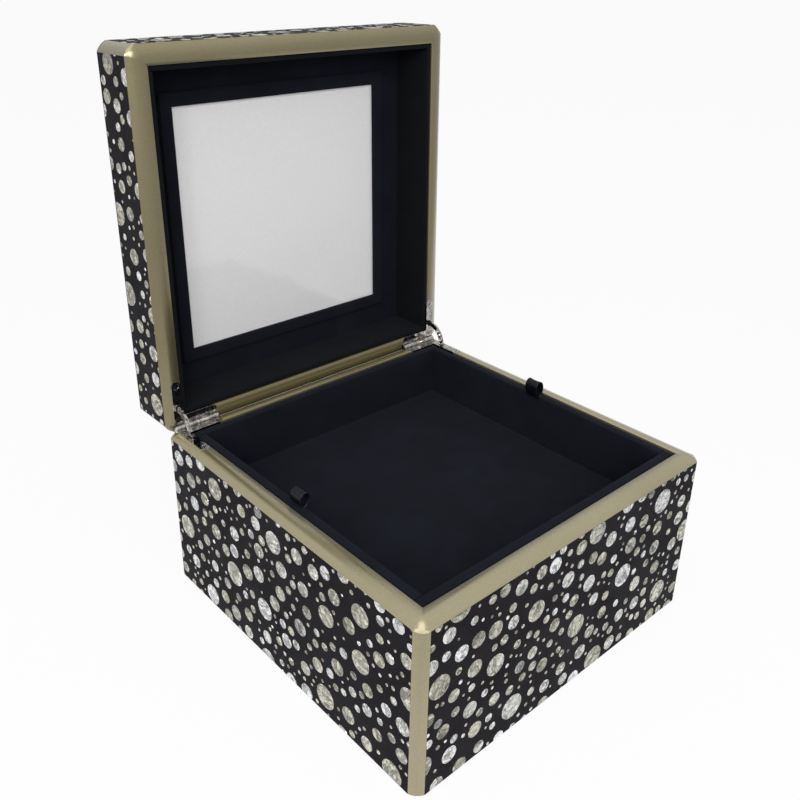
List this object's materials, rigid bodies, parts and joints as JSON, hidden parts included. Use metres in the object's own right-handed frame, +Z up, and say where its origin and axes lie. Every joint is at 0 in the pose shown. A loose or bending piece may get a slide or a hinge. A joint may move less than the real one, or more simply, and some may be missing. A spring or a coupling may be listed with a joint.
{
  "type": "accessory box",
  "caption": "Square accessory box with a mirrored lid on quadrant hinges, dotted walls, lacquered rims and a velvet-lined lift-out tray.",
  "frame": {"origin": "middle of the box's underside, on the surface that it stands on", "axes": "+X to the right along the hinge, +Y to the back, +Z up"},
  "size_m": [0.25, 0.2899, 0.3629],
  "materials": {
    "champagne_lacquer": "satin champagne lacquer",
    "dotted_sheet": "semi-gloss black sheet with glitter dots",
    "inner_board": "bare fibreboard",
    "navy_velvet": "short-pile velvet",
    "satin_ribbon": "satin",
    "underside_felt": "matt felt",
    "mirror_glass": "silvered glass",
    "polished_hinge": "polished"
  },
  "bodies": {
    "base": {"base_front_board": "champagne_lacquer", "base_right_board": "champagne_lacquer", "base_back_board": "champagne_lacquer", "base_left_board": "champagne_lacquer", "base_front_veneer": "dotted_sheet", "base_right_veneer": "dotted_sheet", "base_back_veneer": "dotted_sheet", "base_left_veneer": "dotted_sheet", "base_bottom_board": "inner_board", "base_floor_liner": "navy_velvet", "base_front_liner": "navy_velvet", "base_right_liner": "navy_velvet", "base_back_liner": "navy_velvet", "base_left_liner": "navy_velvet", "base_felt": "underside_felt", "right_base_leaf": "polished_hinge", "left_base_leaf": "polished_hinge", "right_hinge_pin": "polished_hinge", "left_hinge_pin": "polished_hinge", "base_hinge_screws": "polished_hinge"},
    "lid": {"lid_front_board": "champagne_lacquer", "lid_right_board": "champagne_lacquer", "lid_back_board": "champagne_lacquer", "lid_left_board": "champagne_lacquer", "lid_front_veneer": "dotted_sheet", "lid_right_veneer": "dotted_sheet", "lid_back_veneer": "dotted_sheet", "lid_left_veneer": "dotted_sheet", "lid_top_board": "inner_board", "lid_top_veneer": "dotted_sheet", "lid_front_liner": "navy_velvet", "lid_right_liner": "navy_velvet", "lid_back_liner": "navy_velvet", "lid_left_liner": "navy_velvet", "lid_ceiling_liner": "navy_velvet", "mirror": "mirror_glass", "mirror_frame": "navy_velvet", "right_lid_leaf": "polished_hinge", "left_lid_leaf": "polished_hinge", "lid_hinge_screws": "polished_hinge"},
    "tray": {"tray_front_wall": "navy_velvet", "tray_right_wall": "navy_velvet", "tray_back_wall": "navy_velvet", "tray_left_wall": "navy_velvet", "tray_floor": "navy_velvet", "tray_floor_pad": "navy_velvet", "right_pull_ribbon": "satin_ribbon", "left_pull_ribbon": "satin_ribbon"},
    "right_stay": {"right_stay": "polished_hinge"},
    "left_stay": {"left_stay": "polished_hinge"}
  },
  "joints": [
    {"name": "lid_hinge", "type": "hinge", "parent": "base", "child": "lid", "pos_m": [0, 0.1216, 0.1164], "axis": [1, 0, 0], "range_deg": [0, 91]},
    {"name": "tray_lift", "type": "slide", "parent": "base", "child": "tray", "axis": [0, 0, 1], "range_m": [0, 0.084]},
    {"name": "right_stay_swing", "type": "hinge", "parent": "base", "child": "right_stay", "pos_m": [0, 0.1216, 0.1164], "axis": [1, 0, 0], "range_deg": [0, 45.5]},
    {"name": "left_stay_swing", "type": "hinge", "parent": "base", "child": "left_stay", "pos_m": [0, 0.1216, 0.1164], "axis": [1, 0, 0], "range_deg": [0, 45.5]}
  ],
  "couplings": [
    {"joint": "right_stay_swing", "follows": "lid_hinge", "ratio": 0.5},
    {"joint": "left_stay_swing", "follows": "lid_hinge", "ratio": 0.5}
  ]
}
